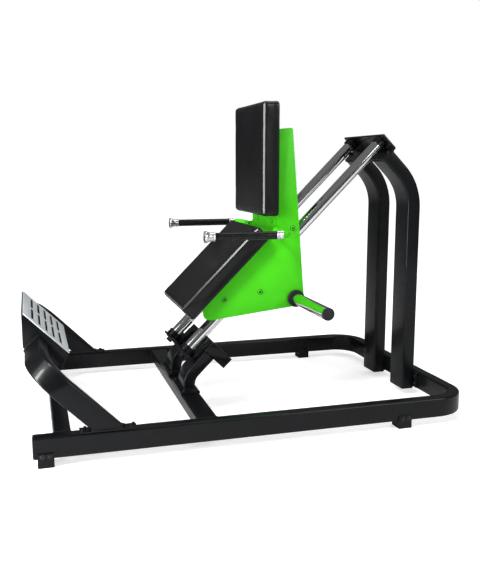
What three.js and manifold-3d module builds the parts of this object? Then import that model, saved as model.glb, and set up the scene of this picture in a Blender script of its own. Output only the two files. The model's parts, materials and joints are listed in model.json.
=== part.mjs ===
// Plate-loaded inclined leg press ("squat press"): a padded carriage slides on two inclined guide rods
// above a U-shaped floor frame, towards a foot plate that faces along the rods.
//
// Millimetres. X runs along the machine (foot plate at -X, uprights at +X), Y across it, Z up.
// Sizes below are measured from the middle of the rails; the last lines move the origin to the floor
// under the middle of the whole machine. "left" is -Y, "right" is +Y.
//
// Everything that follows the rods is built in the slope group, where X is "along" (up the rods),
// Y is across and Z is "rise" (away from the floor frame, square to the rods).

import * as THREE from 'three';
import { mergeVertices } from 'three/addons/utils/BufferGeometryUtils.js';
import Module from 'manifold-3d';

const wasm = await Module();
wasm.setup();

// ---------------------------------------------------------------- driving dimensions

const GAP = 0.3; // clearance between touching pieces
const SIDES = [['left', -1], ['right', 1]];

// floor frame
const LENGTH = 1745;
const WIDTH = 1176;
const RAIL_WIDTH = 50;
const RAIL_HEIGHT = 80;
const RAIL_BOTTOM = 30;
const BEND_RADIUS = 125; // centre line of the bent frame tubes
const TUBE_WALL = 3;
const TUBE_CORNER = 7;

// cross tubes between the rails
const FRONT_CROSS = { x: -772, width: 62, height: 60, top: 108 };
const MIDDLE_CROSS = { x: -241, width: 80, height: 50, top: 107 };

// feet
const FOOT_LENGTH = 57;
const FOOT_X = { front: -832.5, rear: 560 };
const FOOT_PLATE = 5;
const FOOT_TOP = 53;

// guide rods, at 45 degrees
const SLOPE = Math.PI / 4;
const ROD_RADIUS = 25;
const ROD_WALL = 5;
const ROD_RISE = 357;
const ROD_SPREAD = 143.5; // rod axis to the middle of the machine
const ROD_START = 15;
const ROD_END = 1265;
const COLLAR_RADIUS = 31;
const COLLAR_LENGTH = 29;

// uprights and the posts under the rods share one tube, on its flat
const FLAT_TUBE = { width: 121, spread: 141.5, corner: 9 };
const UPRIGHT = { x: 786, depth: 60, bend: 230, along: 1227, endRise: 302 };
const UPRIGHT_PAD = { beyond: 22, inset: 4 }; // plate between an upright and the rear rail
const POST = { x: -237, depth: 49, bend: 80, rise: 283, endAlong: 73 };
const POST_FLANGE = { thick: 8, reach: 103 }; // reach: half its length across the machine
const STOP_BLOCK = { start: 73, end: 126, bottom: 194, top: 309, halfWidth: 48, wall: 4 };
const STOP_CLAMP = { end: 98, low: 7, step: 63, high: 15, halfWidth: 30 }; // low, high: thicknesses
const TOP_BRACKET = { start: 1197, rear: 1274, top: 387, halfWidth: 202, thick: 9, fold: 8 };
const LOWER_PLATE = { thick: 10, top: 388, halfWidth: 185 };

// foot plate and its legs
const LEG_ALONG = -351;
const LEG_REACH = 848; // rise of the leg's cross run
const LEG_FLANGE = { thick: 6, reach: 101 }; // reach: half its length along the rail
const FOOT_BOX = { halfWidth: 253, bottom: 738, top: 980, face: -288, back: -384, sillSlope: 0.32 };
const SHEET = 5;
const TREAD = { thick: 4, top: 973 };
const SLOT = { columns: 5, pitch: 36.7, rise: 853.5, length: 190, width: 11, offset: 112 };

// carriage
const SIDE_PLATE = 5;
const SIDE_OUTER = 185;
const SIDE_REAR = [[217, 1196, 10], [279, 446, 34]]; // corners of the rear edge: x, z, corner radius
const SIDE_TOP = [158, 1190, 6];
const SIDE_TOE = [-173, 396, 38];
const SIDE_FOLD = { x: 115, neck: [157, 790] }; // where the edge leaves the seat for the back
const SEAT_EDGE = 5; // how far the side plates stand in front of the inclined cover
const COVER = { top: 1184, foot: -140, thick: 4 };
const CARRIAGE_CROSS = {
  lower: { x: 402, z: 268, width: 50, height: 50 }, // in the slope group
  upper: { x: 188, z: 1110, width: 40, height: 60 },
};
const SEAT_PAD = { start: 133, end: 605, back: 445, front: 513 };
const BACK_PAD = { front: 83, back: 150, bottom: 833, top: 1299 };
const PAD_HALF_WIDTH = 214;
const PAD_ROUND = 12; // edge rounding
const PAD_CORNER = 16; // plan corner, inside the rounding
const BOARD = 7;
const BOARD_INSET = 25;
const BEARING = { outer: 36, bore: 30.3, start: 266, end: 672 };
const BUSH = { length: 40, flange: 34, flangeThick: 4 };
const HORN = { x: 238, z: 476, radius: 25, end: 547, wall: 4, collar: 37.5, collarWidth: 13 };
const HORN_CAP = { length: 8, lip: 0.5, chamfer: 2 };
const HANDLE = { y: 358, z: 768, radius: 14, bend: 45, tip: -163, turnX: 148, wall: 3 };
const GRIP = { end: 88, radius: 16 };
const KNOB = { length: 42, rim: 24, rimWidth: 7, round: 2, dish: 9, neck: 17.5, cove: 18 };

// ---------------------------------------------------------------- materials

const finish = (color, roughness, metalness) =>
  new THREE.MeshStandardMaterial({ color, roughness, metalness });
const blackPaint = () => finish(0x1a1b1d, 0.45, 0.3);
const greenPaint = () => finish(0x4bd723, 0.4, 0.1);
const chrome = () => finish(0xd8dcde, 0.12, 1);
const leather = () => finish(0x18171a, 0.5, 0);
const rubber = () => finish(0x141414, 0.8, 0);
const plywood = () => finish(0x2a2522, 0.8, 0);
const bronze = () => finish(0xa88a4e, 0.4, 0.9);
const brushedSteel = () => finish(0xc9cfd0, 0.4, 0.8);

// ---------------------------------------------------------------- groups

const machine = new THREE.Group();
const slope = new THREE.Group();
slope.rotation.y = -SLOPE;
machine.add(slope);

function add(group, name, geometry, material) {
  const mesh = new THREE.Mesh(geometry, material);
  mesh.name = name;
  group.add(mesh);
}

// ---------------------------------------------------------------- shape helpers

function block([x0, x1], [y0, y1], [z0, z1]) {
  const geometry = new THREE.BoxGeometry(x1 - x0, y1 - y0, z1 - z0);
  return geometry.translate((x0 + x1) / 2, (y0 + y1) / 2, (z0 + z1) / 2);
}

// A span on one side of the machine, given by its distances from the middle.
const across = (side, near, far) => (side < 0 ? [-far, -near] : [near, far]);

// A flat shape drawn in X and Z, thickened from y0 to y1.
function profile(shape, [y0, y1]) {
  const options = { depth: y1 - y0, bevelEnabled: false, curveSegments: 8 };
  const geometry = new THREE.ExtrudeGeometry(shape, options);
  return geometry.rotateX(Math.PI / 2).translate(0, y1, 0);
}

const polygon = (points) => new THREE.Shape(points.map(([x, y]) => new THREE.Vector2(x, y)));

// A shape with its corners rounded: each point is [x, y, radius].
function roundedPolygon(points) {
  const shape = new THREE.Shape();
  points.forEach(([x, y, radius = 0], i) => {
    const corner = new THREE.Vector2(x, y);
    const before = new THREE.Vector2(...points.at(i - 1));
    const after = new THREE.Vector2(...points[(i + 1) % points.length]);
    const back = before.sub(corner).normalize();
    const ahead = after.sub(corner).normalize();
    const trim = radius / Math.tan(Math.acos(back.dot(ahead)) / 2);
    const enter = corner.clone().addScaledVector(back, trim);
    const leave = corner.clone().addScaledVector(ahead, trim);
    if (i === 0) shape.moveTo(enter.x, enter.y);
    else shape.lineTo(enter.x, enter.y);
    if (radius > 0) shape.quadraticCurveTo(corner.x, corner.y, leave.x, leave.y);
  });
  shape.closePath();
  return shape;
}

// A turned piece about Y: the profile is a list of [radius, y].
function turned(points, segments = 32) {
  return new THREE.LatheGeometry(points.map(([r, y]) => new THREE.Vector2(r, y)), segments);
}

const ring = (inner, outer, from, to, segments) =>
  turned([[inner, from], [outer, from], [outer, to], [inner, to], [inner, from]], segments);

const alongX = (geometry) => geometry.rotateZ(-Math.PI / 2);

// Points of a rounded rectangle, anticlockwise, with the same count for every size.
function rectangleSection(width, height, radius) {
  const points = [];
  const corners = [[1, -1, -90], [1, 1, 0], [-1, 1, 90], [-1, -1, 180]];
  for (const [signX, signY, start] of corners) {
    for (let i = 0; i <= 2; i += 1) {
      const angle = THREE.MathUtils.degToRad(start + i * 45);
      const x = signX * (width / 2 - radius) + radius * Math.cos(angle);
      const y = signY * (height / 2 - radius) + radius * Math.sin(angle);
      points.push([x, y]);
    }
  }
  return points;
}

const roundSection = (radius, count = 16) =>
  Array.from({ length: count }, (_, i) => {
    const angle = (2 * Math.PI * i) / count;
    return [radius * Math.cos(angle), radius * Math.sin(angle)];
  });

// A route in one plane: straight runs and turns about the plane's normal.
// Each station holds a point and the direction of travel.
function route(start, direction, normal, moves) {
  const point = new THREE.Vector3(...start);
  const travel = new THREE.Vector3(...direction);
  const axis = new THREE.Vector3(...normal);
  const stations = [{ point: point.clone(), travel: travel.clone() }];
  for (const { run = 0, turn = 0, radius = 0 } of moves) {
    if (run > 0) {
      point.addScaledVector(travel, run);
      stations.push({ point: point.clone(), travel: travel.clone() });
    }
    const steps = Math.round(Math.abs(turn) / (Math.PI / 18));
    const centre = axis.clone().cross(travel).multiplyScalar(Math.sign(turn) * radius).add(point);
    for (let i = 0; i < steps; i += 1) {
      point.sub(centre).applyAxisAngle(axis, turn / steps).add(centre);
      travel.applyAxisAngle(axis, turn / steps);
      stations.push({ point: point.clone(), travel: travel.clone() });
    }
  }
  return { stations, axis };
}

// One ring of section points at a station. With a cut plane, the points slide along the travel to it.
function ringAt({ point, travel }, axis, section, cut) {
  const side = axis.clone().cross(travel);
  return section.map(([a, b]) => {
    const p = point.clone().addScaledVector(side, a).addScaledVector(axis, b);
    if (cut) p.addScaledVector(travel, -cut.distanceToPoint(p) / cut.normal.dot(travel));
    return p;
  });
}

// A hollow tube along a route, open at both ends. startCut is a plane that trims the first end.
function tube({ stations, axis }, outer, inner, startCut) {
  const rings = stations.map((station, i) => {
    const cut = i === 0 ? startCut : null;
    return [ringAt(station, axis, outer, cut), ringAt(station, axis, inner, cut)];
  });
  const count = outer.length;
  const positions = rings.flat(2).flatMap((p) => p.toArray());
  const at = (station, layer, i) => (station * 2 + layer) * count + (i % count);
  const index = [];
  const quad = (a, b, c, d) => index.push(a, b, c, a, c, d);
  const last = stations.length - 1;
  for (let i = 0; i < count; i += 1) {
    for (let s = 0; s < last; s += 1) {
      quad(at(s, 0, i), at(s, 0, i + 1), at(s + 1, 0, i + 1), at(s + 1, 0, i));
      quad(at(s, 1, i), at(s + 1, 1, i), at(s + 1, 1, i + 1), at(s, 1, i + 1));
    }
    quad(at(0, 0, i), at(0, 1, i), at(0, 1, i + 1), at(0, 0, i + 1));
    quad(at(last, 0, i), at(last, 0, i + 1), at(last, 1, i + 1), at(last, 1, i));
  }
  const geometry = new THREE.BufferGeometry();
  geometry.setAttribute('position', new THREE.Float32BufferAttribute(positions, 3));
  geometry.setIndex(index);
  geometry.computeVertexNormals();
  return geometry;
}

function rectangleTube(path, width, height, corner = TUBE_CORNER, startCut = null) {
  const outer = rectangleSection(width, height, corner);
  const inner = rectangleSection(width - 2 * TUBE_WALL, height - 2 * TUBE_WALL, corner - TUBE_WALL);
  return tube(path, outer, inner, startCut);
}

// ---------------------------------------------------------------- booleans

function solid(geometry) {
  const bare = geometry.clone();
  bare.deleteAttribute('normal');
  bare.deleteAttribute('uv');
  const merged = mergeVertices(bare, 1e-3);
  const mesh = new wasm.Mesh({
    numProp: 3,
    vertProperties: new Float32Array(merged.attributes.position.array),
    triVerts: new Uint32Array(merged.index.array),
  });
  return new wasm.Manifold(mesh);
}

function cut(geometry, ...tools) {
  const result = tools.reduce((body, tool) => body.subtract(solid(tool)), solid(geometry)).getMesh();
  const cutGeometry = new THREE.BufferGeometry();
  cutGeometry.setAttribute('position', new THREE.BufferAttribute(result.vertProperties, 3));
  cutGeometry.setIndex(new THREE.BufferAttribute(result.triVerts, 1));
  cutGeometry.computeVertexNormals();
  return cutGeometry;
}

// ---------------------------------------------------------------- floor frame

const railTop = RAIL_BOTTOM + RAIL_HEIGHT;
const railInner = WIDTH / 2 - RAIL_WIDTH;
const railMiddle = WIDTH / 2 - RAIL_WIDTH / 2;

function baseFrame() {
  const straight = LENGTH - RAIL_WIDTH / 2 - BEND_RADIUS;
  const corner = { turn: Math.PI / 2, radius: BEND_RADIUS };
  const path = route([-LENGTH / 2, -railMiddle, RAIL_BOTTOM + RAIL_HEIGHT / 2], [1, 0, 0], [0, 0, 1], [
    { run: straight }, corner, { run: 2 * (railMiddle - BEND_RADIUS) }, corner, { run: straight },
  ]);
  return rectangleTube(path, RAIL_WIDTH, RAIL_HEIGHT);
}
add(machine, 'base_frame', baseFrame(), blackPaint());

function crossTube({ x, width, height, top }, reach) {
  const path = route([x, -reach, top - height / 2], [0, 1, 0], [0, 0, 1], [{ run: 2 * reach }]);
  return rectangleTube(path, width, height);
}
add(machine, 'front_cross_tube', crossTube(FRONT_CROSS, railInner - GAP), blackPaint());
add(machine, 'middle_cross_tube', crossTube(MIDDLE_CROSS, railInner - GAP), blackPaint());

// A channel that clasps the rail from below and stands on the floor.
function footBracket(side, x) {
  const inner = railInner - GAP - FOOT_PLATE;
  const outer = WIDTH / 2 + GAP + FOOT_PLATE;
  const span = [x - FOOT_LENGTH / 2, x + FOOT_LENGTH / 2];
  const whole = block(span, across(side, inner, outer), [0, FOOT_TOP]);
  const hollow = block([span[0] - 1, span[1] + 1], across(side, inner + FOOT_PLATE, outer - FOOT_PLATE),
    [FOOT_PLATE, FOOT_TOP + 1]);
  return cut(whole, hollow);
}
for (const [end, x] of Object.entries(FOOT_X)) {
  for (const [hand, side] of SIDES) {
    add(machine, `foot_bracket_${end}_${hand}`, footBracket(side, x), blackPaint());
  }
}

// ---------------------------------------------------------------- foot plate and its legs

const floorUp = new THREE.Vector3(Math.sin(SLOPE), 0, Math.cos(SLOPE)); // world Z in the slope group

function footLeg(side) {
  const top = railTop + 2 * GAP + LEG_FLANGE.thick;
  const startRise = top / Math.cos(SLOPE) - LEG_ALONG;
  const start = [LEG_ALONG, side * railMiddle, startRise];
  const run = LEG_REACH - BEND_RADIUS - startRise;
  const crossRun = railMiddle - BEND_RADIUS - FOOT_BOX.halfWidth - GAP;
  const path = route(start, [0, 0, 1], [1, 0, 0], [
    { run }, { turn: side * Math.PI / 2, radius: BEND_RADIUS }, { run: crossRun },
  ]);
  const floorCut = new THREE.Plane(floorUp, -top);
  return rectangleTube(path, RAIL_WIDTH, RAIL_HEIGHT, TUBE_CORNER, floorCut);
}

function legFlange(side) {
  const { thick, reach } = LEG_FLANGE;
  const middle = Math.SQRT2 * LEG_ALONG - (railTop + GAP + thick);
  return block([middle - reach, middle + reach], across(side, railInner, WIDTH / 2),
    [railTop + GAP, railTop + GAP + thick]);
}

for (const [hand, side] of SIDES) {
  add(slope, `foot_leg_${hand}`, footLeg(side), blackPaint());
  add(machine, `foot_leg_flange_${hand}`, legFlange(side), blackPaint());
}

// A folded box, open at its back. Its front wall stands upright, its sill slopes.
function footBox() {
  const { halfWidth, bottom, top, face, back, sillSlope } = FOOT_BOX;
  const lip = (along) => top + (along - face);
  const sill = (along) => bottom + sillSlope * (along - face);
  const outer = polygon([
    [face, sill(face)], [face, lip(face)], [back, lip(back)], [back, sill(back)],
  ]);
  const innerFace = face - SHEET;
  const beyond = back - SHEET;
  const lipDrop = SHEET * Math.SQRT2;
  const sillLift = SHEET * Math.hypot(1, sillSlope);
  const inner = polygon([
    [innerFace, sill(innerFace) + sillLift], [innerFace, lip(innerFace) - lipDrop],
    [beyond, lip(beyond) - lipDrop], [beyond, sill(beyond) + sillLift],
  ]);
  const room = halfWidth - SHEET;
  return cut(profile(outer, [-halfWidth, halfWidth]), profile(inner, [-room, room]));
}
add(slope, 'foot_plate_box', footBox(), blackPaint());

// The steel tread, with two rows of long slots across it.
function tread() {
  const { halfWidth, bottom, face } = FOOT_BOX;
  const { thick, top } = TREAD;
  const sheet = polygon([[bottom, -halfWidth], [top, -halfWidth], [top, halfWidth], [bottom, halfWidth]]);
  const middle = (SLOT.columns - 1) / 2;
  for (let column = 0; column < SLOT.columns; column += 1) {
    const rise = SLOT.rise + (column - middle) * SLOT.pitch;
    for (const side of [-1, 1]) {
      const half = (SLOT.length - SLOT.width) / 2;
      const slot = new THREE.Path();
      slot.absarc(rise, side * SLOT.offset - half, SLOT.width / 2, Math.PI, 2 * Math.PI);
      slot.absarc(rise, side * SLOT.offset + half, SLOT.width / 2, 0, Math.PI);
      slot.closePath();
      sheet.holes.push(slot);
    }
  }
  const options = { depth: thick, bevelEnabled: false, curveSegments: 3 };
  const geometry = new THREE.ExtrudeGeometry(sheet, options);
  return geometry.rotateY(-Math.PI / 2).translate(face + GAP + thick, 0, 0);
}
add(slope, 'foot_plate_tread', tread(), brushedSteel());

// ---------------------------------------------------------------- uprights and top bracket

const rearInner = LENGTH / 2 - RAIL_WIDTH;

function upright(side) {
  const { x, depth, bend, along, endRise } = UPRIGHT;
  const cornerHeight = along * Math.SQRT2 - x;
  const trim = bend * Math.tan(SLOPE / 2);
  const cornerRise = along - Math.SQRT2 * x;
  const path = route([x, side * FLAT_TUBE.spread, RAIL_BOTTOM], [0, 0, 1], [0, 1, 0], [
    { run: cornerHeight - trim - RAIL_BOTTOM },
    { turn: -SLOPE, radius: bend },
    { run: endRise - cornerRise - trim },
  ]);
  return rectangleTube(path, depth, FLAT_TUBE.width, FLAT_TUBE.corner);
}

function uprightPad(side) {
  const front = UPRIGHT.x + UPRIGHT.depth / 2 + GAP;
  const { beyond, inset } = UPRIGHT_PAD;
  const half = FLAT_TUBE.width / 2;
  return block([front, rearInner - GAP],
    across(side, FLAT_TUBE.spread - half, FLAT_TUBE.spread + half + beyond),
    [RAIL_BOTTOM + inset, railTop - inset]);
}

for (const [hand, side] of SIDES) {
  add(machine, `upright_${hand}`, upright(side), blackPaint());
  add(machine, `upright_base_plate_${hand}`, uprightPad(side), blackPaint());
}

// A folded angle: one leg closes the uprights, the other carries the rods.
function topBracket() {
  const { start, rear, top, halfWidth, thick, fold } = TOP_BRACKET;
  const bottom = UPRIGHT.endRise + GAP;
  const angle = roundedPolygon([
    [start, bottom], [rear, bottom, fold], [rear, top], [rear - thick, top],
    [rear - thick, bottom + thick], [start, bottom + thick],
  ]);
  return profile(angle, [-halfWidth, halfWidth]);
}
add(slope, 'top_bracket', topBracket(), blackPaint());

// ---------------------------------------------------------------- guide rods

const onRod = (geometry, side) => alongX(geometry).translate(0, side * ROD_SPREAD, ROD_RISE);

for (const [hand, side] of SIDES) {
  const rod = ring(ROD_RADIUS - ROD_WALL, ROD_RADIUS, ROD_START + GAP, ROD_END - GAP, 40);
  add(slope, `guide_rod_${hand}`, onRod(rod, side), chrome());
  const collar = (from) => ring(ROD_RADIUS + GAP, COLLAR_RADIUS, from, from + COLLAR_LENGTH);
  add(slope, `rod_collar_lower_${hand}`, onRod(collar(ROD_START + GAP), side), blackPaint());
  add(slope, `rod_collar_upper_${hand}`, onRod(collar(ROD_END - GAP - COLLAR_LENGTH), side), blackPaint());
}

// ---------------------------------------------------------------- posts under the rods

const crossTop = MIDDLE_CROSS.top;
const postFlangeTop = crossTop + GAP + POST_FLANGE.thick;

function post(side) {
  const { x, depth, bend, rise, endAlong } = POST;
  const cornerHeight = rise * Math.SQRT2 + x;
  const cornerAlong = rise + Math.SQRT2 * x;
  const trim = bend * Math.tan(SLOPE / 2);
  const foot = postFlangeTop + GAP;
  const path = route([x, side * FLAT_TUBE.spread, foot], [0, 0, 1], [0, 1, 0], [
    { run: cornerHeight - trim - foot },
    { turn: SLOPE, radius: bend },
    { run: endAlong - cornerAlong - trim },
  ]);
  return rectangleTube(path, depth, FLAT_TUBE.width, TUBE_CORNER);
}

function postFlange(side) {
  const { reach } = POST_FLANGE;
  const half = MIDDLE_CROSS.width / 2;
  return block([MIDDLE_CROSS.x - half, MIDDLE_CROSS.x + half],
    across(side, FLAT_TUBE.spread - reach, FLAT_TUBE.spread + reach), [crossTop + GAP, postFlangeTop]);
}

// The stop that the carriage lands on: a capped tube, open at its lower end.
function stopBlock(side) {
  const { start, end, bottom, top, halfWidth, wall } = STOP_BLOCK;
  const near = FLAT_TUBE.spread - halfWidth;
  const far = FLAT_TUBE.spread + halfWidth;
  const whole = block([start + GAP, end], across(side, near, far), [bottom, top]);
  const hollow = block([start + GAP + wall, end - wall], across(side, near + wall, far - wall),
    [bottom - 1, top - wall]);
  return cut(whole, hollow);
}

// A stepped clamp from the rods' lower plate, over the post, onto the stop.
function stopClamp(side) {
  const { end, low, step, high, halfWidth } = STOP_CLAMP;
  const base = STOP_BLOCK.top + GAP;
  const from = ROD_START + GAP;
  const outline = polygon([
    [from, base], [end, base], [end, base + low],
    [step, base + low], [step, base + high], [from, base + high],
  ]);
  return profile(outline, across(side, FLAT_TUBE.spread - halfWidth, FLAT_TUBE.spread + halfWidth));
}

function lowerPlate() {
  const { thick, top, halfWidth } = LOWER_PLATE;
  const bottom = POST.rise + POST.depth / 2 + GAP;
  return block([ROD_START - thick, ROD_START], [-halfWidth, halfWidth], [bottom, top]);
}
add(slope, 'rod_lower_plate', lowerPlate(), blackPaint());

for (const [hand, side] of SIDES) {
  add(machine, `post_${hand}`, post(side), blackPaint());
  add(machine, `post_flange_${hand}`, postFlange(side), blackPaint());
  add(slope, `stop_block_${hand}`, stopBlock(side), blackPaint());
  add(slope, `stop_clamp_${hand}`, stopClamp(side), blackPaint());
}

// ---------------------------------------------------------------- carriage: frame

const plateInner = SIDE_OUTER - SIDE_PLATE;
const sheetFront = BACK_PAD.back + GAP + BOARD + GAP; // X of the upright cover's face
const sheetRise = SEAT_PAD.back - GAP - BOARD - GAP; // rise of the inclined cover's face

function sidePlate(side) {
  const onSeatEdge = (x) => [x, x + (sheetRise + SEAT_EDGE) * Math.SQRT2];
  const outline = roundedPolygon([
    SIDE_FOLD.neck, onSeatEdge(SIDE_FOLD.x), onSeatEdge(SIDE_TOE[0]), SIDE_TOE,
    ...SIDE_REAR.toReversed(), SIDE_TOP,
  ]);
  return profile(outline, across(side, plateInner, SIDE_OUTER));
}
for (const [hand, side] of SIDES) {
  add(machine, `carriage_side_plate_${hand}`, sidePlate(side), greenPaint());
}

// One bent sheet behind both pads, between the side plates.
function cover() {
  const { top, foot, thick } = COVER;
  const reach = plateInner - GAP;
  const back = sheetFront + thick;
  const seatLine = sheetRise * Math.SQRT2; // z - x on the inclined face
  const backLine = seatLine - thick * Math.SQRT2;
  const footBack = foot + thick / Math.SQRT2;
  const sheet = polygon([
    [sheetFront, top], [sheetFront, sheetFront + seatLine], [foot, foot + seatLine],
    [footBack, footBack + backLine], [back, back + backLine], [back, top],
  ]);
  return profile(sheet, [-reach, reach]);
}
add(machine, 'carriage_cover', cover(), greenPaint());

function carriageCross({ x, z, width, height }) {
  const reach = plateInner - GAP;
  const path = route([x, -reach, z], [0, 1, 0], [0, 0, 1], [{ run: 2 * reach }]);
  return rectangleTube(path, width, height);
}
add(slope, 'carriage_cross_tube_lower', carriageCross(CARRIAGE_CROSS.lower), blackPaint());
add(machine, 'carriage_cross_tube_upper', carriageCross(CARRIAGE_CROSS.upper), blackPaint());

// ---------------------------------------------------------------- carriage: bearings

function bush(end) {
  const { length, flange, flangeThick } = BUSH;
  const seat = BEARING.bore - GAP;
  const bore = ROD_RADIUS + GAP;
  const geometry = turned([
    [bore, 0], [flange, 0], [flange, flangeThick], [seat, flangeThick],
    [seat, length], [bore, length], [bore, 0],
  ]);
  if (end < 0) return geometry.translate(0, BEARING.start - GAP - flangeThick, 0);
  return geometry.rotateX(Math.PI).translate(0, BEARING.end + GAP + flangeThick, 0);
}

for (const [hand, side] of SIDES) {
  const housing = ring(BEARING.bore, BEARING.outer, BEARING.start, BEARING.end);
  add(slope, `bearing_housing_${hand}`, onRod(housing, side), blackPaint());
  add(slope, `bush_lower_${hand}`, onRod(bush(-1), side), bronze());
  add(slope, `bush_upper_${hand}`, onRod(bush(1), side), bronze());
}

// ---------------------------------------------------------------- carriage: pads

// A cushion lying flat: its plan is X by Y with round corners, its thickness is from 0 up.
function cushion(length, width, thick) {
  const halfLength = length / 2 - PAD_ROUND;
  const halfWidth = width / 2 - PAD_ROUND;
  const plan = roundedPolygon([
    [-halfLength, -halfWidth, PAD_CORNER], [halfLength, -halfWidth, PAD_CORNER],
    [halfLength, halfWidth, PAD_CORNER], [-halfLength, halfWidth, PAD_CORNER],
  ]);
  const geometry = new THREE.ExtrudeGeometry(plan, {
    depth: thick - 2 * PAD_ROUND,
    bevelEnabled: true,
    bevelSize: PAD_ROUND,
    bevelThickness: PAD_ROUND,
    bevelSegments: 3,
    curveSegments: 4,
  });
  return geometry.translate(0, 0, PAD_ROUND);
}

const seatLength = SEAT_PAD.end - SEAT_PAD.start;
const backHeight = BACK_PAD.top - BACK_PAD.bottom;
const seatCushion = cushion(seatLength, 2 * PAD_HALF_WIDTH, SEAT_PAD.front - SEAT_PAD.back)
  .translate((SEAT_PAD.start + SEAT_PAD.end) / 2, 0, SEAT_PAD.back);
add(slope, 'seat_pad', seatCushion, leather());

const backCushion = cushion(backHeight, 2 * PAD_HALF_WIDTH, BACK_PAD.back - BACK_PAD.front)
  .rotateY(-Math.PI / 2).translate(BACK_PAD.back, 0, (BACK_PAD.bottom + BACK_PAD.top) / 2);
add(machine, 'back_pad', backCushion, leather());

const boardHalf = plateInner - GAP; // the boards sit between the side plates
const seatBoard = block([SEAT_PAD.start + BOARD_INSET, SEAT_PAD.end - BOARD_INSET], [-boardHalf, boardHalf],
  [SEAT_PAD.back - GAP - BOARD, SEAT_PAD.back - GAP]);
add(slope, 'seat_board', seatBoard, plywood());
const backBoard = block([BACK_PAD.back + GAP, BACK_PAD.back + GAP + BOARD], [-boardHalf, boardHalf],
  [BACK_PAD.bottom + BOARD_INSET, BACK_PAD.top - BOARD_INSET]);
add(machine, 'back_board', backBoard, plywood());

// ---------------------------------------------------------------- carriage: weight horns

for (const [hand, side] of SIDES) {
  const place = (geometry) => {
    if (side < 0) geometry.rotateX(Math.PI);
    return geometry.translate(HORN.x, 0, HORN.z);
  };
  const root = SIDE_OUTER + GAP;
  const tip = HORN.end - HORN_CAP.length;
  const sleeve = ring(HORN.radius - HORN.wall, HORN.radius, root, tip - GAP);
  add(machine, `weight_horn_${hand}`, place(sleeve), chrome());
  const collar = ring(HORN.radius + GAP, HORN.collar, root, root + HORN.collarWidth);
  add(machine, `weight_horn_collar_${hand}`, place(collar), rubber());
  const rim = HORN.radius + HORN_CAP.lip;
  const { chamfer } = HORN_CAP;
  const cap = turned([
    [0, tip], [rim, tip], [rim, HORN.end - chamfer], [rim - chamfer, HORN.end], [0, HORN.end],
  ]);
  add(machine, `weight_horn_cap_${hand}`, place(cap), rubber());
}

// ---------------------------------------------------------------- carriage: handles

function handleBar(side) {
  const { y, z, radius, bend, tip, turnX, wall } = HANDLE;
  const path = route([tip, side * y, z], [1, 0, 0], [0, 0, 1], [
    { run: turnX - bend - tip },
    { turn: -side * Math.PI / 2, radius: bend },
    { run: y - bend - SIDE_OUTER - GAP },
  ]);
  return tube(path, roundSection(radius), roundSection(radius - wall));
}

// A bell-shaped end knob: a wide dished rim at its tip that curves in to a neck beside the grip.
function handleKnob() {
  const { length, rim, rimWidth, round, dish, neck, cove } = KNOB;
  const end = HANDLE.tip - GAP;
  const tip = end - length;
  const curve = [0, 0.25, 0.5, 0.75, 1].map((share) => {
    const flare = (rim - neck) * (1 - Math.sin((share * Math.PI) / 2));
    return [neck + flare, tip + rimWidth + cove * share];
  });
  return turned([
    [0, tip + round], [rim - dish, tip + round], [rim - dish + round, tip],
    [rim - round, tip], [rim, tip + round], ...curve, [neck, end], [0, end],
  ]);
}

for (const [hand, side] of SIDES) {
  const place = (geometry) => alongX(geometry).translate(0, side * HANDLE.y, HANDLE.z);
  add(machine, `handle_bar_${hand}`, handleBar(side), greenPaint());
  const grip = ring(HANDLE.radius + GAP, GRIP.radius, HANDLE.tip, GRIP.end);
  add(machine, `handle_grip_${hand}`, place(grip), rubber());
  add(machine, `handle_knob_${hand}`, place(handleKnob()), chrome());
}

// ---------------------------------------------------------------- place on the floor

// The foot plate reaches out past the rails, so the middle of the machine isn't the middle of its rails.
const frontReach = (FOOT_BOX.face - FOOT_BOX.top) / Math.SQRT2;
machine.position.x = -(frontReach + LENGTH / 2) / 2;

export default machine;
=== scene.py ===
"""Looks of an inclined plate-loaded leg press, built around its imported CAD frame.

Metres. X runs from the foot plate to the uprights, Y across the machine, Z up. Along the guide rods,
which stand at 45 degrees, "along" is the way up them and "rise" is square to them, away from the floor
frame. "left" is -Y and "right" is +Y.
"""

import json
import math

import bmesh
import bpy
from mathutils import Matrix, Vector


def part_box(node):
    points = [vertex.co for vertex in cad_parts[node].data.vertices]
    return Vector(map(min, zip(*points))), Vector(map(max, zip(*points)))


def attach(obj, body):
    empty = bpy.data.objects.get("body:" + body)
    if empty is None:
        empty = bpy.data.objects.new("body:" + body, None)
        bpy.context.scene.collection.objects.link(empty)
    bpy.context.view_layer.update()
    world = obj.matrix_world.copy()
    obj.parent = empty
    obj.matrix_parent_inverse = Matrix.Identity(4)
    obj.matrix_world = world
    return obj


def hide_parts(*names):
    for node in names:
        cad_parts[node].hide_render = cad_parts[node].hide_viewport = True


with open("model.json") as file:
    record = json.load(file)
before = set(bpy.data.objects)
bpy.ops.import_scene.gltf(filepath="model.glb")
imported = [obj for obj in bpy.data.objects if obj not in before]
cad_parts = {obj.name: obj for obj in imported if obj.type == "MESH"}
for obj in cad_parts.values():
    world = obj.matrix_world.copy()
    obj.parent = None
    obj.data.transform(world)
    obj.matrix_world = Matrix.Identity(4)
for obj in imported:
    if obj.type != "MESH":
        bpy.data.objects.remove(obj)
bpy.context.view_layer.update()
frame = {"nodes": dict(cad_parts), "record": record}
nodes = frame["nodes"]
record = frame["record"]

BODY = {n: body for body, members in record["behaviour"]["bodies"].items() for n in members}
SLOT = {part["node"]: part["material_slot"] for part in record["subparts"]}
SIDES = (("left", -1), ("right", 1))

X, Y, Z = Vector((1, 0, 0)), Vector((0, 1, 0)), Vector((0, 0, 1))
ALONG = Vector((1, 0, 1)).normalized()
RISE = Vector((-1, 0, 1)).normalized()


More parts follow.
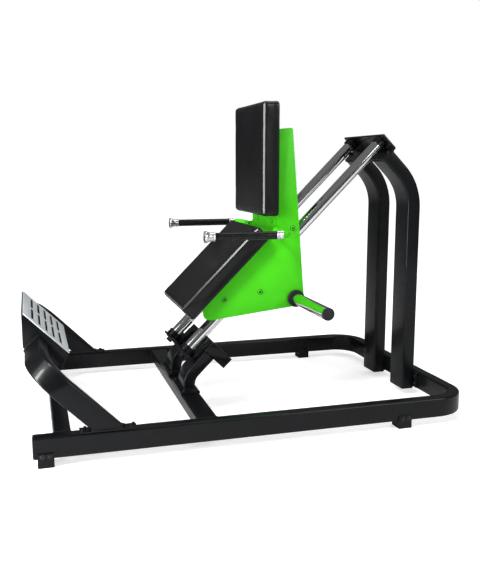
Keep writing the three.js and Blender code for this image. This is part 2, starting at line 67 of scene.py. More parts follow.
def mid(node):
    low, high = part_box(node)
    return (low + high) / 2


RAILS_MIDDLE = mid("base_frame").x


def on_slope(along, y, rise):
    """A point given by its distances along and square to the rods."""
    return ALONG * along + RISE * rise + Y * y + X * RAILS_MIDDLE


# ---------------------------------------------------------------- camera

CAMERA_AT = (-0.8400, -3.0784, 1.0441)
CAMERA_AZIMUTH = -16.195
CAMERA_ELEVATION = 9.408
CAMERA_LENS = 45.88


def make_camera():
    camera = bpy.data.objects.new("camera", bpy.data.cameras.new("camera"))
    bpy.context.scene.collection.objects.link(camera)
    azimuth, elevation = math.radians(CAMERA_AZIMUTH), math.radians(CAMERA_ELEVATION)
    back = Vector((
        math.sin(azimuth) * math.cos(elevation),
        -math.cos(azimuth) * math.cos(elevation),
        math.sin(elevation),
    ))
    camera.location = CAMERA_AT
    camera.rotation_euler = (-back).to_track_quat("-Z", "Y").to_euler()
    camera.data.lens = CAMERA_LENS
    camera.data.sensor_width = 36
    bpy.context.scene.camera = camera


# ---------------------------------------------------------------- materials


class Shader:
    """A material under construction: its nodes, in object coordinates."""

    def __init__(self, name, color, roughness, metallic=0.0, **sockets):
        self.material = bpy.data.materials.new(name)
        self.material.use_nodes = True
        self.tree = self.material.node_tree
        self.bsdf = self.tree.nodes["Principled BSDF"]
        self.color = (*color, 1)
        self.set("Base Color", self.color)
        self.set("Roughness", roughness)
        self.set("Metallic", metallic)
        for socket, value in sockets.items():
            self.set(socket.replace("_", " "), value)
        self.place = self.tree.nodes.new("ShaderNodeTexCoord").outputs["Object"]

    def set(self, socket, value):
        self.bsdf.inputs[socket].default_value = value

    def link(self, output, target):
        self.tree.links.new(output, target)

    def stretched(self, scale, where=None):
        mapping = self.tree.nodes.new("ShaderNodeMapping")
        mapping.inputs["Scale"].default_value = scale
        self.link(where or self.place, mapping.inputs["Vector"])
        return mapping.outputs["Vector"]

    def turned(self, angle, scale):
        """Coordinates turned about Y by an angle in degrees, then scaled."""
        turn = self.tree.nodes.new("ShaderNodeVectorRotate")
        turn.rotation_type = "Y_AXIS"
        turn.inputs["Angle"].default_value = math.radians(angle)
        self.link(self.place, turn.inputs["Vector"])
        return self.stretched(scale, turn.outputs["Vector"])

    def noise(self, scale, detail=2, where=None):
        texture = self.tree.nodes.new("ShaderNodeTexNoise")
        texture.inputs["Scale"].default_value = scale
        texture.inputs["Detail"].default_value = detail
        self.link(where or self.place, texture.inputs["Vector"])
        return texture.outputs["Fac"]

    def cells(self, scale):
        texture = self.tree.nodes.new("ShaderNodeTexVoronoi")
        texture.inputs["Scale"].default_value = scale
        self.link(self.place, texture.inputs["Vector"])
        return texture.outputs["Distance"]

    def wave(self, scale, distortion, where):
        texture = self.tree.nodes.new("ShaderNodeTexWave")
        texture.inputs["Scale"].default_value = scale
        texture.inputs["Distortion"].default_value = distortion
        texture.inputs["Detail"].default_value = 3
        self.link(where, texture.inputs["Vector"])
        return texture.outputs["Fac"]

    def ranged(self, value, low, high, start=0.3, end=0.7):
        node = self.tree.nodes.new("ShaderNodeMapRange")
        for socket, number in (("From Min", start), ("From Max", end), ("To Min", low), ("To Max", high)):
            node.inputs[socket].default_value = number
        self.link(value, node.inputs["Value"])
        return node.outputs["Result"]

    def tint(self, value, dark, light, start=0.3, end=0.7):
        """Base colour between two multiples of the plain colour."""
        ramp = self.tree.nodes.new("ShaderNodeValToRGB")
        for stop, position, share in ((0, start, dark), (1, end, light)):
            ramp.color_ramp.elements[stop].position = position
            ramp.color_ramp.elements[stop].color = (*[c * share for c in self.color[:3]], 1)
        self.link(value, ramp.inputs["Fac"])
        self.link(ramp.outputs["Color"], self.bsdf.inputs["Base Color"])

    def rough(self, value, low, high):
        self.link(self.ranged(value, low, high), self.bsdf.inputs["Roughness"])

    def bump(self, *layers):
        """Layers of (height, distance in metres, strength), the coarsest first."""
        normal = None
        for height, distance, strength in layers:
            node = self.tree.nodes.new("ShaderNodeBump")
            node.inputs["Distance"].default_value = distance
            node.inputs["Strength"].default_value = strength
            self.link(height, node.inputs["Height"])
            if normal:
                self.link(normal, node.inputs["Normal"])
            normal = node.outputs["Normal"]
        self.link(normal, self.bsdf.inputs["Normal"])


def powder_coat(name, color, roughness, **sockets):
    shader = Shader(name, color, roughness, **sockets)
    shader.tint(shader.noise(9, 5), 0.94, 1.06)
    shader.rough(shader.noise(35, 4), roughness - 0.03, roughness + 0.04)
    shader.bump((shader.noise(40, 2), 0.0004, 0.015), (shader.noise(900, 2), 0.0001, 0.2))
    return shader.material


def chrome_plate(name, color, roughness, scale, angle=0, grain=0.015):
    """Polished plating with hair-fine marks drawn out along one direction."""
    shader = Shader(name, color, roughness, 1.0)
    marks = shader.turned(angle, scale)
    shader.tint(shader.noise(6, 3), 0.94, 1.04)
    shader.rough(shader.noise(1, 4, marks), roughness - 0.02, roughness + 0.05)
    shader.bump((shader.noise(1, 4, marks), 0.0001, grain))
    return shader.material


def pad_leather():
    shader = Shader(
        "pad_leather", (0.0050, 0.0050, 0.0058), 0.36,
        Specular_IOR_Level=0.14, Coat_Weight=0.32, Coat_Roughness=0.2,
    )
    shader.tint(shader.noise(7, 4), 0.8, 1.25)
    shader.rough(shader.noise(160, 3), 0.32, 0.42)
    creases = shader.noise(24, 5)
    grain = shader.cells(620)
    pores = shader.noise(1500, 2)
    shader.bump((creases, 0.0006, 0.05), (grain, 0.0001, 0.2), (pores, 0.00005, 0.2))
    return shader.material


def rubber(name, color, roughness, grain=0.2):
    shader = Shader(name, color, roughness, Specular_IOR_Level=0.24)
    shader.tint(shader.noise(30, 4), 0.8, 1.3)
    shader.rough(shader.noise(90, 3), roughness - 0.08, roughness + 0.08)
    shader.bump((shader.noise(420, 3), 0.0003, grain), (shader.noise(1800, 2), 0.0001, grain))
    return shader.material


def brushed_tread():
    shader = Shader("tread_steel", (0.72, 0.77, 0.79), 0.45, 0.25)
    grain = shader.stretched((900, 14, 900))
    shader.tint(shader.noise(1, 4, grain), 0.88, 1.08)
    shader.rough(shader.noise(1, 3, grain), 0.36, 0.52)
    shader.bump((shader.noise(1, 4, grain), 0.0001, 0.2))
    return shader.material


def plywood():
    shader = Shader("board_wood", (0.05, 0.038, 0.028), 0.75)
    grain = shader.stretched((18, 1.5, 18))
    shader.tint(shader.wave(2.5, 6, grain), 0.55, 1.4, 0.1, 0.9)
    shader.bump((shader.wave(2.5, 6, grain), 0.0005, 0.3), (shader.noise(500, 3), 0.0002, 0.4))
    return shader.material


def bronze():
    shader = Shader("bush_bronze", (0.55, 0.38, 0.17), 0.38, 0.95)
    shader.tint(shader.noise(60, 4), 0.7, 1.15)
    shader.rough(shader.noise(200, 3), 0.3, 0.5)
    shader.bump((shader.noise(900, 3), 0.0001, 0.4))
    return shader.material


def bolt_steel():
    shader = Shader("bolt_black", (0.03, 0.03, 0.033), 0.38, 0.85)
    shader.tint(shader.noise(120, 4), 0.6, 1.6)
    shader.rough(shader.noise(300, 3), 0.3, 0.5)
    shader.bump((shader.noise(1200, 2), 0.0001, 0.4))
    return shader.material


BLACK = powder_coat(
    "black_paint", (0.0042, 0.0046, 0.0055), 0.3,
    Specular_IOR_Level=0.1, Coat_Weight=0.2, Coat_Roughness=0.1,
)
GREEN = powder_coat("green_paint", (0.064, 0.59, 0.010), 0.32, Specular_IOR_Level=0.12)
ROD_CHROME = chrome_plate("rod_chrome", (0.80, 0.81, 0.82), 0.07, (4, 160, 160), 45)
CHROME = chrome_plate("chrome", (0.82, 0.83, 0.84), 0.11, (120, 8, 120))
SATIN_CHROME = chrome_plate("satin_chrome", (0.66, 0.67, 0.68), 0.30, (3, 12, 12), grain=0.002)
LEATHER = pad_leather()
RUBBER = rubber("black_rubber", (0.012, 0.012, 0.013), 0.55)
GRIP_RUBBER = rubber("grip_rubber", (0.006, 0.006, 0.007), 0.28, 0.03)
PLASTIC = rubber("plug_plastic", (0.014, 0.014, 0.016), 0.42)
TREAD = brushed_tread()
WOOD = plywood()
BRONZE = bronze()
BOLT = bolt_steel()

MATERIAL = {
    "black_paint": BLACK,
    "green_paint": GREEN,
    "chrome": CHROME,
    "tread_steel": TREAD,
    "pad_leather": LEATHER,
    "black_rubber": RUBBER,
    "board_wood": WOOD,
    "bush_bronze": BRONZE,
}


# ---------------------------------------------------------------- mesh helpers


def shade(piece, angle=38):
    piece.data.polygons.foreach_set("use_smooth", [True] * len(piece.data.polygons))
    piece.data.set_sharp_from_angle(angle=math.radians(angle))


def made(name, bm, material, angle=38):
    """A new object from a bmesh, shaded smooth between its sharp edges."""
    mesh = bpy.data.meshes.new(name)
    bmesh.ops.recalc_face_normals(bm, faces=bm.faces)
    bm.to_mesh(mesh)
    bm.free()
    mesh.materials.append(material)
    piece = bpy.data.objects.new(name, mesh)
    bpy.context.scene.collection.objects.link(piece)
    shade(piece, angle)
    return piece


def stand_in(piece, node):
    """The piece takes the place of a CAD node, on its body."""
    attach(piece, BODY[node])
    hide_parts(node)
    return piece


def trim(piece, body):
    """Small trim that has no CAD node of its own."""
    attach(piece, body)
    return piece


def refined(node, bevel=0.0009, segments=2, material=None, sharp=35):
    """A finer copy of a CAD node with its sharp edges rounded, standing for the node."""
    bm = bmesh.new()
    bm.from_mesh(nodes[node].data)
    bmesh.ops.remove_doubles(bm, verts=bm.verts, dist=1e-5)
    bmesh.ops.dissolve_limit(bm, angle_limit=math.radians(1), verts=bm.verts, edges=bm.edges)
    edges = [e for e in bm.edges if len(e.link_faces) == 2 and e.calc_face_angle() > math.radians(sharp)]
    if bevel:
        bmesh.ops.bevel(
            bm, geom=edges, offset=bevel, segments=segments, profile=0.5, affect="EDGES", clamp_overlap=True
        )
    piece = made(node + "_skin", bm, material or MATERIAL[SLOT[node]])
    return stand_in(piece, node)


def rounded_section(width, height, radius, steps=5):
    """Points of a rounded rectangle, anticlockwise, the same number for every size."""
    points = []
    for sign_x, sign_y, start in ((1, -1, -90), (1, 1, 0), (-1, 1, 90), (-1, -1, 180)):
        for i in range(steps + 1):
            angle = math.radians(start + 90 * i / steps)
            points.append((
                sign_x * (width / 2 - radius) + radius * math.cos(angle),
                sign_y * (height / 2 - radius) + radius * math.sin(angle),
            ))
    return points


def round_section(radius, count=32):
    angles = [2 * math.pi * i / count for i in range(count)]
    return [(radius * math.cos(a), radius * math.sin(a)) for a in angles]


def route(start, travel, normal, moves, step=3):
    """Stations (point, travel) along straight runs and bends about one normal.

    A move is (run, turn, radius), the turn in degrees, with a station every step degrees.
    """
    point, travel, normal = Vector(start), Vector(travel), Vector(normal)
    stations = [(point.copy(), travel.copy())]
    for run, turn, radius in moves:
        if run:
            point = point + travel * run
            stations.append((point.copy(), travel.copy()))
        steps = round(abs(turn) / step)
        centre = point + normal.cross(travel) * math.copysign(radius, turn)
        for _ in range(steps):
            spin = Matrix.Rotation(math.radians(turn / steps), 3, normal)
            point = centre + spin @ (point - centre)
            travel = spin @ travel
            stations.append((point.copy(), travel.copy()))
    return stations, normal


def ring_points(station, normal, section, cut=None):
    """The section's points at a station, slid along the travel onto the plane cut = (point, normal)."""
    point, travel = station
    side = normal.cross(travel)
    points = [point + side * a + normal * b for a, b in section]
    if cut:
        at, facing = cut
        points = [p - travel * ((p - at).dot(facing) / travel.dot(facing)) for p in points]
    return points


def skin(bm, rings, closed=False):
    """Walls between rings of points; returns the rings' vertices."""
    rows = [[bm.verts.new(p) for p in ring] for ring in rings]
    pairs = list(zip(rows, rows[1:]))
    if closed:
        pairs.append((rows[-1], rows[0]))
    for lower, upper in pairs:
        for i in range(len(lower)):
            j = (i + 1) % len(lower)
            bm.faces.new((lower[i], lower[j], upper[j], upper[i]))
    return rows


def capped(bm, rings):
    """A closed body through a stack of rings."""
    rows = skin(bm, rings)
    bm.faces.new(rows[0])
    bm.faces.new(rows[-1])


def tube(name, path, outer, inner, material, cut=None, lip=0.0008):
    """A hollow tube along a path, open at both ends, its rims eased by a small lip."""
    stations, normal = path
    cuts = [cut if i == 0 else None for i in range(len(stations))]
    outside = [ring_points(s, normal, outer, c) for s, c in zip(stations, cuts)]
    inside = [ring_points(s, normal, inner, c) for s, c in zip(stations, cuts)]

    def rim(ring, other, station, sign):
        """The end ring drawn in a little along the wall and across it."""
        across = [p.lerp(q, lip / max((q - p).length, 1e-6)) for p, q in zip(ring, other)]
        along = [p - station[1] * sign * lip for p in ring]
        return across, along

    start_across, start_along = rim(outside[0], inside[0], stations[0], -1)
    end_across, end_along = rim(outside[-1], inside[-1], stations[-1], 1)
    shell = [start_across, start_along, *outside[1:-1], end_along, end_across, *reversed(inside)]
    bm = bmesh.new()
    skin(bm, shell, closed=True)
    return made(name, bm, material)


def turned(name, profile, axis_at, axis, material, count=56, angle=30):
    """A turned piece: (radius, distance) points round an axis; a radius of 0 closes an end."""
    axis = Vector(axis).normalized()
    side = axis.orthogonal().normalized()
    other = axis.cross(side)
    bm = bmesh.new()
    rows = []
    for radius, distance in profile:
        centre = Vector(axis_at) + axis * distance
        if radius < 1e-7:
            rows.append([bm.verts.new(centre)])
            continue
        angles = [2 * math.pi * i / count for i in range(count)]
        spokes = [side * math.cos(a) + other * math.sin(a) for a in angles]
        rows.append([bm.verts.new(centre + spoke * radius) for spoke in spokes])
    for lower, upper in zip(rows, rows[1:]):
        for i in range(count):
            j = (i + 1) % count
            below, above = len(lower), len(upper)
            corners = [lower[i % below], lower[j % below], upper[j % above], upper[i % above]]
            unique = list(dict.fromkeys(corners))
            if len(unique) > 2:
                bm.faces.new(unique)
    bmesh.ops.remove_doubles(bm, verts=bm.verts, dist=1e-7)
    return made(name, bm, material, angle)


def arc(centre, radius, start, end, steps=5):
    """Profile points on an arc, angles in degrees."""
    angles = [math.radians(start + (end - start) * i / steps) for i in range(steps + 1)]
    return [(centre[0] + radius * math.cos(a), centre[1] + radius * math.sin(a)) for a in angles]


def bead(name, loop, radius, body, ripple=0.22, pitch=0.004, closed=True):
    """A weld bead along a loop of points, its surface rippled as the welder's stitches are."""
    length = sum((loop[(i + 1) % len(loop)] - loop[i]).length for i in range(len(loop) - (not closed)))
    count = max(12, int(length / (pitch / 3)))
    points = resampled(loop, count, closed)
    bm = bmesh.new()
    rings = []
    total = len(points)
    for i, point in enumerate(points):
        ahead = points[(i + 1) % total] if closed or i + 1 < total else point
        behind = points[i - 1] if closed or i > 0 else point
        travel = (ahead - behind).normalized()
        reference = Z if abs(travel.z) < 0.8 else X
        side = travel.cross(reference).normalized()
        other = side.cross(travel)
        size = radius * (1 + ripple * math.sin(2 * math.pi * i / 3))
        angles = [2 * math.pi * k / 7 for k in range(7)]
        rings.append([point + (side * math.cos(a) + other * math.sin(a)) * size for a in angles])
    rows = skin(bm, rings, closed)
    if not closed:
        bm.faces.new(rows[0])
        bm.faces.new(rows[-1])
    return trim(made(name, bm, BLACK, 80), body)


def resampled(loop, count, closed):
    """The same line with evenly spaced points."""
    points = list(loop) + ([loop[0]] if closed else [])
    lengths = [(b - a).length for a, b in zip(points, points[1:])]
    total = sum(lengths)
    spaced = []
    travelled, index = 0.0, 0
    for i in range(count + (not closed)):
        target = total * i / count
        while index < len(lengths) - 1 and travelled + lengths[index] < target:
            travelled += lengths[index]
            index += 1
        share = (target - travelled) / max(lengths[index], 1e-9)
        spaced.append(points[index].lerp(points[index + 1], min(max(share, 0), 1)))
    return spaced


def hex_bolt(name, at, axis, across, body):
    """A hexagon head with a chamfered top, on a flat round seat. across is its width across flats."""
    axis = Vector(axis).normalized()
    side = axis.orthogonal().normalized()
    other = axis.cross(side)
    height = across * 0.55
    base = across * 0.13
    bm = bmesh.new()

    def circle(radius, distance, count):
        centre = Vector(at) + axis * distance
        angles = [2 * math.pi * i / count for i in range(count)]
        return [centre + (side * math.cos(a) + other * math.sin(a)) * radius for a in angles]

    wide = across * 0.98
    capped(bm, [circle(wide, 0, 24), circle(wide, base * 0.8, 24), circle(across * 0.93, base, 24)])
    corner = across / math.sqrt(3)
    shoulder, top = base + height * 0.86, base + height
    capped(bm, [circle(corner, base, 6), circle(corner, shoulder, 6), circle(corner * 0.86, top, 6)])
    return trim(made(name, bm, BOLT), body)


def socket_screw(name, at, axis, radius, body, paint=None):
    """A button-head screw. A painted one sits on a thin black ring, which is painted shade for the gap round
    its head. It also has a black socket, which is painted shade in its hole.
    """
    base = 0.0
    if paint:
        base, wide = 0.0012, radius * 1.22
        # The black ring under a painted head is painted shade for the gap round it.
        shadow_ring = [(0, -0.0005), (wide, -0.0005), (wide, 0.0009), (wide - 0.0003, base), (0, base)]
        trim(turned(name + "_washer", shadow_ring, at, axis, BOLT, 32), body)
    head = [
        (radius * 0.56, base + radius * 0.12), (radius * 0.58, base + radius * 0.4),
        (radius * 0.72, base + radius * 0.38), (radius * 0.92, base + radius * 0.24), (radius, base),
        (radius * 0.56, base), (radius * 0.56, base + radius * 0.12),
    ]
    trim(turned(name, head, at, axis, paint or BOLT, 32), body)
    if paint:
        reach, top = radius * 0.57, base + radius * 0.14
        # The socket's black bottom is painted shade in the hole.
        socket = [
            (0, base - 0.0003), (reach, base - 0.0003), (reach, top), (reach * 0.9, top + 0.0003),
            (reach * 0.78, top), (reach * 0.72, base + 0.0003), (0, base + 0.0001),
        ]
        trim(turned(name + "_socket", socket, at, axis, BOLT, 6, 20), body)


# ---------------------------------------------------------------- floor frame

WALL = 0.003
RAIL_BEND = 0.125
RAIL_CORNER = 0.0075


def rectangle_tube(name, path, width, height, corner, material=BLACK, cut=None):
    outer = rounded_section(width, height, corner)
    inner = rounded_section(width - 2 * WALL, height - 2 * WALL, corner - WALL)
    return tube(name, path, outer, inner, material, cut)


def floor_frame():
    low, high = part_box("base_frame")
    rail_high = high.z - low.z
    rail_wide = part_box("foot_leg_flange_left")[1].y - low.y
    line = high.y - rail_wide / 2
    straight = (high.x - low.x) - rail_wide / 2 - RAIL_BEND
    path = route((low.x, -line, (low.z + high.z) / 2), X, Z, [
        (straight, 90, RAIL_BEND), (2 * (line - RAIL_BEND), 90, RAIL_BEND), (straight, 0, 0),
    ])
    stand_in(rectangle_tube("base_frame_skin", path, rail_wide, rail_high, RAIL_CORNER), "base_frame")
    for hand, side in SIDES:
        plug(f"rail_plug_{hand}", (low.x, side * line, (low.z + high.z) / 2), -X, rail_wide, rail_high)


def plug(name, at, axis, width, height):
    """A ribbed plastic plug that closes the end of a rectangular tube."""
    inset = 2 * WALL + 0.0006
    levels = [
        (inset, -0.006), (inset, 0.0004), (2 * WALL * 0.4, 0.0006), (2 * WALL * 0.4, 0.002), (0.006, 0.0036),
        (0.016, 0.0042),
    ]
    bm = bmesh.new()
    rings = []
    for shrink, distance in levels:
        section = rounded_section(width - shrink, height - shrink, max(RAIL_CORNER - shrink / 2, 0.002))
        rings.append([Vector(at) + axis * distance + Y * a + Z * b for a, b in section])
    capped(bm, rings)
    trim(made(name, bm, PLASTIC), "frame")


def cross_tubes():
    for node in ("front_cross_tube", "middle_cross_tube"):
        low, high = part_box(node)
        centre = (low + high) / 2
        path = route((centre.x, low.y, centre.z), Y, Z, [(high.y - low.y, 0, 0)])
        size = (high.x - low.x, high.z - low.z)
        stand_in(rectangle_tube(node + "_skin", path, *size, 0.007), node)
        for hand, side in SIDES:
            section = rounded_section(size[0] + 0.002, size[1] + 0.002, 0.008)
            end = Vector((centre.x, side * high.y, centre.z))
            bead(f"{node}_weld_{hand}", [end + X * a + Z * b for a, b in section], 0.0028, "frame")


def feet():
    """Each folded foot bracket, its two bolts, and the rubber block between it and the rail."""
    rail_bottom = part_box("base_frame")[0].z
    for end in ("front", "rear"):
        for hand, side in SIDES:
            node = f"foot_bracket_{end}_{hand}"
            refined(node, 0.0014, 3)
            low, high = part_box(node)
            outer = side * max(abs(low.y), abs(high.y))
            for number, share in enumerate((0.28, 0.72), 1):
                x = low.x + (high.x - low.x) * share
                at = (x, outer, high.z - 0.011)
                hex_bolt(f"{node}_bolt_{number}", at, Y * side, 0.010, "frame")
            bottom = low.z + 0.0052
            block = rounded_section(high.x - low.x - 0.004, abs(high.y - low.y) - 0.0112, 0.004)
            centre = (low + high) / 2
            bm = bmesh.new()
            levels = (
                (0.97, bottom), (1, bottom + 0.001), (1, rail_bottom - 0.0012), (0.97, rail_bottom - 0.0003),
            )
            rings = [[Vector((centre.x + a * k, centre.y + b * k, z)) for a, b in block] for k, z in levels]
            capped(bm, rings)
            trim(made(f"{node}_rubber", bm, RUBBER), "frame")


# ---------------------------------------------------------------- foot plate

LEG_ALONG = -0.351
LEG_RISE = 0.848
LEG_HIGH = 0.080
LEG_BEND = 0.125
GAP = 0.0003


def foot_legs():
    """Each leg climbs square to the rods from its flange, then turns in to the foot plate box."""
    for hand, side in SIDES:
        node = f"foot_leg_{hand}"
        flange = f"foot_leg_flange_{hand}"
        inner, outer = sorted(abs(corner.y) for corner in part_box(flange))
        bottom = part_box(node)[0].z
        box_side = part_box("foot_plate_box")[1].y
        rail_line = (inner + outer) / 2
        wide = outer - inner
        start_rise = bottom * math.sqrt(2) - LEG_ALONG
        path = route(on_slope(LEG_ALONG, side * rail_line, start_rise), RISE, ALONG, [
            (LEG_RISE - LEG_BEND - start_rise, side * 90, LEG_BEND),
            (rail_line - LEG_BEND - box_side - GAP, 0, 0),
        ])
        cut = (Vector((0, 0, bottom)), Z)
        leg = rectangle_tube(node + "_skin", path, wide, LEG_HIGH, RAIL_CORNER, cut=cut)
        stand_in(leg, node)
        stations, normal = path
        rim = rounded_section(wide + 0.003, LEG_HIGH + 0.003, 0.009)
        foot = ring_points(stations[0], normal, rim, cut)
        bead(f"{node}_weld_foot", [p + Z * 0.0006 for p in foot], 0.0028, "frame")
        bead(f"{node}_weld_head", ring_points(stations[-1], normal, rim), 0.0026, "frame")
        refined(flange, 0.0012, 3)
        flange_bolts(flange, side)


def flange_bolts(node, side):
    """Two bolts on each tab that the leg leaves free."""
    low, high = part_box(node)
    middle = (low.y + high.y) / 2
    for number, (x, offset) in enumerate((
        (low.x + 0.009, -0.015), (low.x + 0.020, 0.015), (high.x - 0.020, -0.015), (high.x - 0.009, 0.015),
    ), 1):
        hex_bolt(f"{node}_bolt_{number}", (x, middle - side * offset, high.z), Z, 0.0095, "frame")


def foot_plate():
    refined("foot_plate_box", 0.0016, 3)
    tread = refined("foot_plate_tread", 0.0007, 2)
    # The slots' inner walls take the dark bolt steel: painted shade inside the slots.
    tread.data.materials.append(BOLT)
    low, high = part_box("foot_plate_tread")
    for face in tread.data.polygons:
        inside = abs(face.center.y) < high.y - 0.005 and low.z + 0.008 < face.center.z < high.z - 0.008
        if inside and abs(face.normal.dot(ALONG)) < 0.5:
            face.material_index = 1


# ---------------------------------------------------------------- uprights, posts and brackets

FLAT_WIDE = 0.121
UPRIGHT_DEPTH = 0.060
ROD_RISE = 0.357
ROD_START = 0.0153
ROD_END = 1.2647
ROD_RADIUS = 0.025
COLLAR_LONG = 0.029


def bent_post(node, start_x, direction, depth, bend, corner_z, end_along, end_rise, corner):
    """A flat tube that stands up, then bends 45 degrees to lean up or down the rods."""
    low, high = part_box(node)
    y = (low.y + high.y) / 2
    trim_length = bend * math.tan(math.radians(22.5))
    corner_point = Vector((start_x, y, corner_z))
    goal = on_slope(end_along, y, end_rise)
    path = route((start_x, y, low.z), Z, Y, [
        (corner_z - trim_length - low.z, direction * 45, bend),
        ((goal - corner_point).length - trim_length, 0, 0),
    ])
    stand_in(rectangle_tube(node + "_skin", path, depth, FLAT_WIDE, corner), node)
    return path


def uprights():
    along, rise, depth, bend = 1.227, 0.302, UPRIGHT_DEPTH, 0.230
    for hand, _ in SIDES:
        node = f"upright_{hand}"
        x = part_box(node)[1].x - depth / 2
        corner_z = along * math.sqrt(2) - (x - RAILS_MIDDLE)
        stations, normal = bent_post(node, x, -1, depth, bend, corner_z, along, rise, 0.009)
        rim = rounded_section(depth + 0.002, FLAT_WIDE + 0.002, 0.010)
        bead(f"{node}_weld", ring_points(stations[-1], normal, rim), 0.0025, "frame")
        refined(f"upright_base_plate_{hand}", 0.001, 2)
        low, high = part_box(f"upright_base_plate_{hand}")
        outer = high.y if high.y > 0 else low.y
        for number, z in enumerate((low.z + 0.018, high.z - 0.018), 1):
            at = (low.x, outer - math.copysign(0.011, outer), z)
            hex_bolt(f"upright_base_bolt_{hand}_{number}", at, -X, 0.010, "frame")
        bottom_plug(node)


def bottom_plug(node):
    """The plastic plug in the open lower end of an upright."""
    low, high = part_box(node)
    centre = Vector((high.x - UPRIGHT_DEPTH / 2, (low.y + high.y) / 2, low.z))
    bm = bmesh.new()
    rings = []
    for shrink, z in ((0.0066, 0.006), (0.0066, 0.0), (0.0026, 0.0), (0.0026, -0.0018), (0.008, -0.003)):
        section = rounded_section(UPRIGHT_DEPTH - shrink, FLAT_WIDE - shrink, 0.006)
        rings.append([centre + X * a + Y * b + Z * z for a, b in section])
    capped(bm, rings)
    trim(made(f"{node}_plug", bm, PLASTIC), "frame")


def posts():
    depth, bend, rise, end_along = 0.049, 0.080, 0.283, 0.073
    for hand, side in SIDES:
        node = f"post_{hand}"
        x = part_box(node)[0].x + depth / 2
        corner_z = rise * math.sqrt(2) + (x - RAILS_MIDDLE)
        stations, normal = bent_post(node, x, 1, depth, bend, corner_z, end_along, rise, 0.0075)
        rim = rounded_section(depth + 0.003, FLAT_WIDE + 0.003, 0.009)
        bead(f"{node}_weld_foot", ring_points(stations[0], normal, rim), 0.0026, "frame")
        flange = f"post_flange_{hand}"
        refined(flange, 0.0012, 3)
        low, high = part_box(flange)
        spots = [(x, y) for x in (low.x + 0.016, high.x - 0.016) for y in (low.y + 0.016, high.y - 0.016)]
        for number, (x, y) in enumerate(spots, 1):
            hex_bolt(f"{flange}_bolt_{number}", (x, y, high.z), Z, 0.012, "frame")
        refined(f"stop_block_{hand}", 0.0018, 3)
        refined(f"stop_clamp_{hand}", 0.001, 2)
        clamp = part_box(f"stop_clamp_{hand}")
        y = (clamp[0].y + clamp[1].y) / 2
        for number, offset in enumerate((-0.018, 0.018), 1):
            at = on_slope(0.040, y + offset, 0.3243)
            hex_bolt(f"stop_clamp_{hand}_bolt_{number}", at, RISE, 0.010, "frame")


def top_bracket():
    refined("top_bracket", 0.0018, 3)
    for hand, side in SIDES:
        rod_y = mid(f"guide_rod_{hand}").y
        hex_bolt(f"rod_bolt_upper_{hand}", on_slope(1.274, rod_y, ROD_RISE), ALONG, 0.024, "frame")
        hex_bolt(f"rod_bolt_lower_{hand}", on_slope(0.005, rod_y, ROD_RISE), -ALONG, 0.024, "frame")
        for number, offset in enumerate((-0.055, 0.055), 1):
            at = on_slope(1.238, rod_y - side * 0.004 + offset, 0.3115)
            hex_bolt(f"bracket_bolt_{hand}_{number}", at, RISE, 0.011, "frame")


def guide_rods():
    bore, ease = ROD_RADIUS - 0.005, 0.0005
    for hand, _ in SIDES:
        node = f"guide_rod_{hand}"
        y = mid(node).y
        profile = [
            (bore, ROD_START), (ROD_RADIUS - ease, ROD_START), (ROD_RADIUS, ROD_START + ease),
            (ROD_RADIUS, ROD_END - ease), (ROD_RADIUS - ease, ROD_END), (bore, ROD_END), (bore, ROD_START),
        ]
        stand_in(turned(node + "_skin", profile, on_slope(0, y, ROD_RISE), ALONG, ROD_CHROME, 72), node)
        collar(f"rod_collar_lower_{hand}", y, ROD_START)
        collar(f"rod_collar_upper_{hand}", y, ROD_END - COLLAR_LONG)
    refined("rod_lower_plate", 0.0014, 3)


def collar(node, y, start):
    """A clamping collar with eased rims, a groove round its middle and a screw."""
    end = start + COLLAR_LONG
    outer, inner, ease = 0.031, ROD_RADIUS + GAP, 0.0018
    profile = [
        (inner, start), (outer - ease, start), (outer, start + ease), (outer, start + 0.012),
        (outer - 0.0008, start + 0.0128), (outer - 0.0008, start + 0.0162), (outer, start + 0.017),
        (outer, end - ease), (outer - ease, end), (inner, end), (inner, start),
    ]
    stand_in(turned(node + "_skin", profile, on_slope(0, y, ROD_RISE), ALONG, BLACK, 56), node)
    at = on_slope(start + COLLAR_LONG / 2, y, ROD_RISE) + RISE * (outer - 0.0015)
    socket_screw(node + "_screw", at, RISE, 0.0035, "frame")


# ---------------------------------------------------------------- carriage

SCREWS = ((0.221, 0.779), (0.077, 0.512), (-0.079, 0.485))  # (x from the rails' middle, z)
SCREW_RADIUS = 0.0092


def carriage_shell():
    for hand, side in SIDES:
        node = f"carriage_side_plate_{hand}"
        refined(node, 0.0009, 2)
        outer = side * max(abs(c.y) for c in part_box(node))
        for number, (x, z) in enumerate(SCREWS, 1):
            at = (x + RAILS_MIDDLE, outer, z)
            socket_screw(f"side_screw_{hand}_{number}", at, Y * side, SCREW_RADIUS, "carriage", GREEN)
    refined("carriage_cover", 0.0008, 2)
    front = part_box("back_board")[1].x + GAP
    for number, y in enumerate((-0.0945, 0.0945), 1):
        socket_screw(f"cover_screw_{number}", (front, y, 0.8060), -X, SCREW_RADIUS, "carriage", GREEN)
    refined("carriage_cross_tube_lower", 0)
    refined("carriage_cross_tube_upper", 0)


